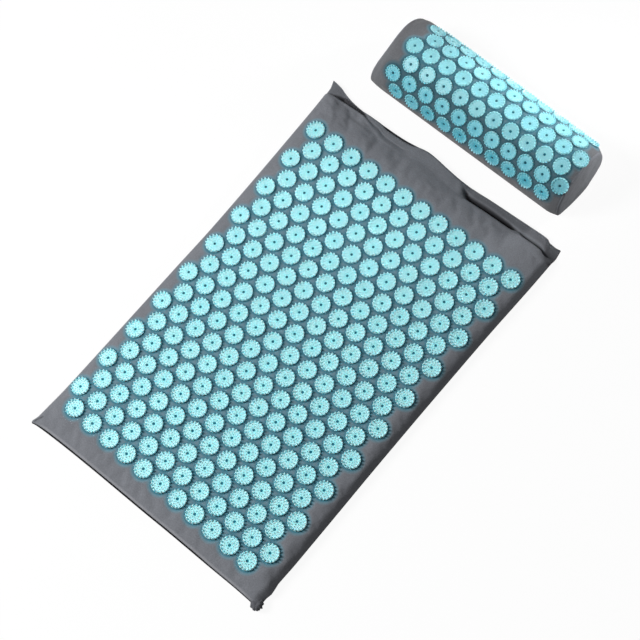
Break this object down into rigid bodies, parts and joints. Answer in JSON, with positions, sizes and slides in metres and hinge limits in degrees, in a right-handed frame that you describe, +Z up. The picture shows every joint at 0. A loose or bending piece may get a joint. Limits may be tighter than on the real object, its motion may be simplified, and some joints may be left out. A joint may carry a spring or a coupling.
{
  "type": "acupressure mat with neck pillow",
  "caption": "Padded acupressure mat and matching half-round neck pillow, both set with staggered rows of spiked plastic discs on grey cloth.",
  "frame": {"origin": "middle of the mat's flat underside, on the surface that it lies on", "axes": "+X across the mat to its right side, +Y from the foot end to the head end where the pillow lies, +Z up"},
  "size_m": [0.42, 0.8047, 0.0845],
  "materials": {
    "cloth_with_discs": "matt grey cotton cloth carrying satin pale blue plastic discs",
    "cloth": "matt woven cotton cloth",
    "foam": "soft open-cell foam",
    "tape": "woven hook and loop tape"
  },
  "bodies": {
    "mat": {"mat_top_panel": "cloth_with_discs", "mat_base_panel": "cloth", "mat_foam_core": "foam", "mat_loop_tape": "tape", "mat_hook_tape": "tape"},
    "pillow": {"pillow_top_panel": "cloth_with_discs", "pillow_base_panel": "cloth", "pillow_left_end_panel": "cloth", "pillow_right_end_panel": "cloth", "pillow_foam_core": "foam"}
  },
  "joints": [
    {"name": "pillow_lift", "type": "slide", "parent": "mat", "child": "pillow", "axis": [0, 0, 1], "range_m": [0, 0.3]}
  ]
}
